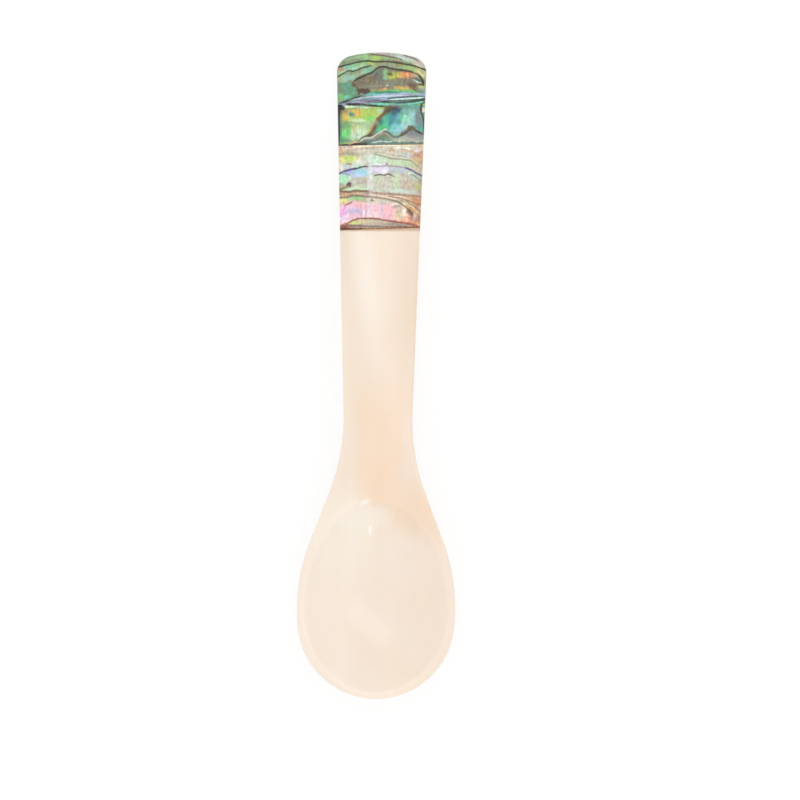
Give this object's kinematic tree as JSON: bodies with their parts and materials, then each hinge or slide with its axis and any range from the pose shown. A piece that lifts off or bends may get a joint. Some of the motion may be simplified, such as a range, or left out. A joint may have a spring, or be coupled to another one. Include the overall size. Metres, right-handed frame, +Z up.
{
  "type": "caviar spoon",
  "caption": "Flat one-piece cream shell spoon with a shallow round bowl and a broad handle, faced at its end with flush green and rose abalone tiles.",
  "frame": {"origin": "on the table under the middle of the spoon's length and width, as the spoon lies face up", "axes": "+Z up through the spoon's face, +Y along the spoon towards the handle's end, +X to the right of the face seen from above with the handle's end at the top"},
  "size_m": [0.0244, 0.1, 0.0076],
  "materials": {
    "cream_shell": "polished cream mother-of-pearl, peach along the neck",
    "dark_abalone": "polished abalone, green and teal with dark brown growth lines",
    "pale_abalone": "polished abalone, silver green to rose with fine growth lines"
  },
  "bodies": {
    "root": {"spoon_body": "cream_shell", "upper_abalone_tile": "dark_abalone", "lower_abalone_tile": "pale_abalone"}
  },
  "joints": []
}
